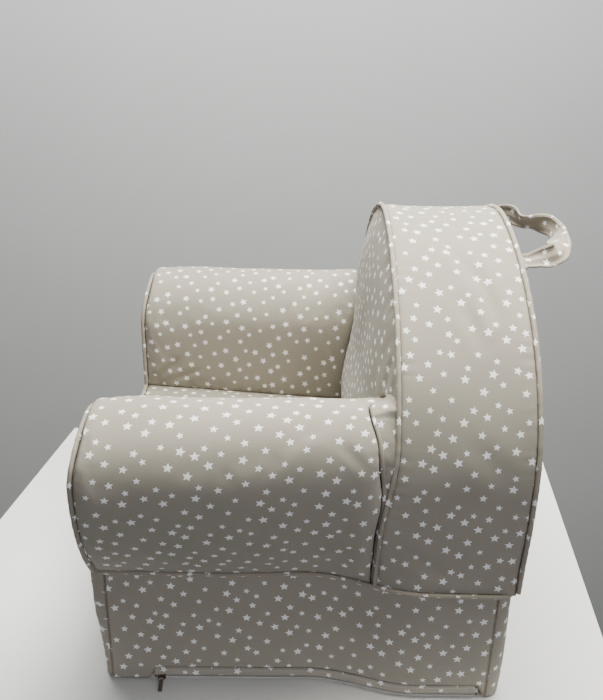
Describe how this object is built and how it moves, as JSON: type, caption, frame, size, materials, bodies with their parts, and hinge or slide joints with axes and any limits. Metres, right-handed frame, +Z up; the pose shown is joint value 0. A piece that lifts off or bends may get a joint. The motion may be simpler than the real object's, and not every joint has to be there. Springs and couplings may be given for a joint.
{
  "type": "child's foam armchair",
  "caption": "Low foam armchair for a small child: two rolled arms, an arched back and a seat in a piped, removable star-print slipcover with a strap handle and a zip.",
  "frame": {"origin": "on the floor, in the middle of the footprint's width and depth", "axes": "+Z up; the sitter faces -Y; +X is the sitter's left"},
  "size_m": [0.549, 0.5115, 0.4935],
  "materials": {
    "foam": "matte",
    "cover_fabric": "matte",
    "piping_fabric": "matte",
    "zip_tape": "matte",
    "zip_teeth": "satin",
    "zip_metal": "satin"
  },
  "bodies": {
    "chair": {"foam_base": "foam", "foam_seat": "foam", "foam_left_arm": "foam", "foam_right_arm": "foam", "foam_back": "foam", "front_panel": "cover_fabric", "left_arm_wrap": "cover_fabric", "right_arm_wrap": "cover_fabric", "seat_panel": "cover_fabric", "inner_back_panel": "cover_fabric", "back_boxing": "cover_fabric", "outer_back_panel": "cover_fabric", "left_base_side": "cover_fabric", "right_base_side": "cover_fabric", "base_rear": "cover_fabric", "bottom_panel": "cover_fabric", "front_piping": "piping_fabric", "back_front_piping": "piping_fabric", "back_rear_piping": "piping_fabric", "base_piping": "piping_fabric", "zip_flap": "cover_fabric", "zip_upper_tape": "zip_tape", "zip_lower_tape": "zip_tape", "zip_upper_teeth": "zip_teeth", "zip_lower_teeth": "zip_teeth", "zip_front_stop": "zip_metal", "zip_end_stop": "zip_metal"},
    "carry_handle": {"carry_handle": "cover_fabric"},
    "zip_slider": {"zip_slider": "zip_metal"},
    "zip_pull": {"zip_pull": "zip_metal"}
  },
  "joints": [
    {"name": "handle_swing", "type": "hinge", "parent": "chair", "child": "carry_handle", "pos_m": [0, 0.2204, 0.4627], "axis": [1, 0, 0], "range_deg": [-60, 35]},
    {"name": "zip_travel", "type": "slide", "parent": "chair", "child": "zip_slider", "axis": [0, 1, 0], "range_m": [0, 0.155]},
    {"name": "pull_lift", "type": "hinge", "parent": "zip_slider", "child": "zip_pull", "pos_m": [0.21185, -0.1571, 0.0046], "axis": [0, 1, 0], "range_deg": [-100, 0]}
  ]
}
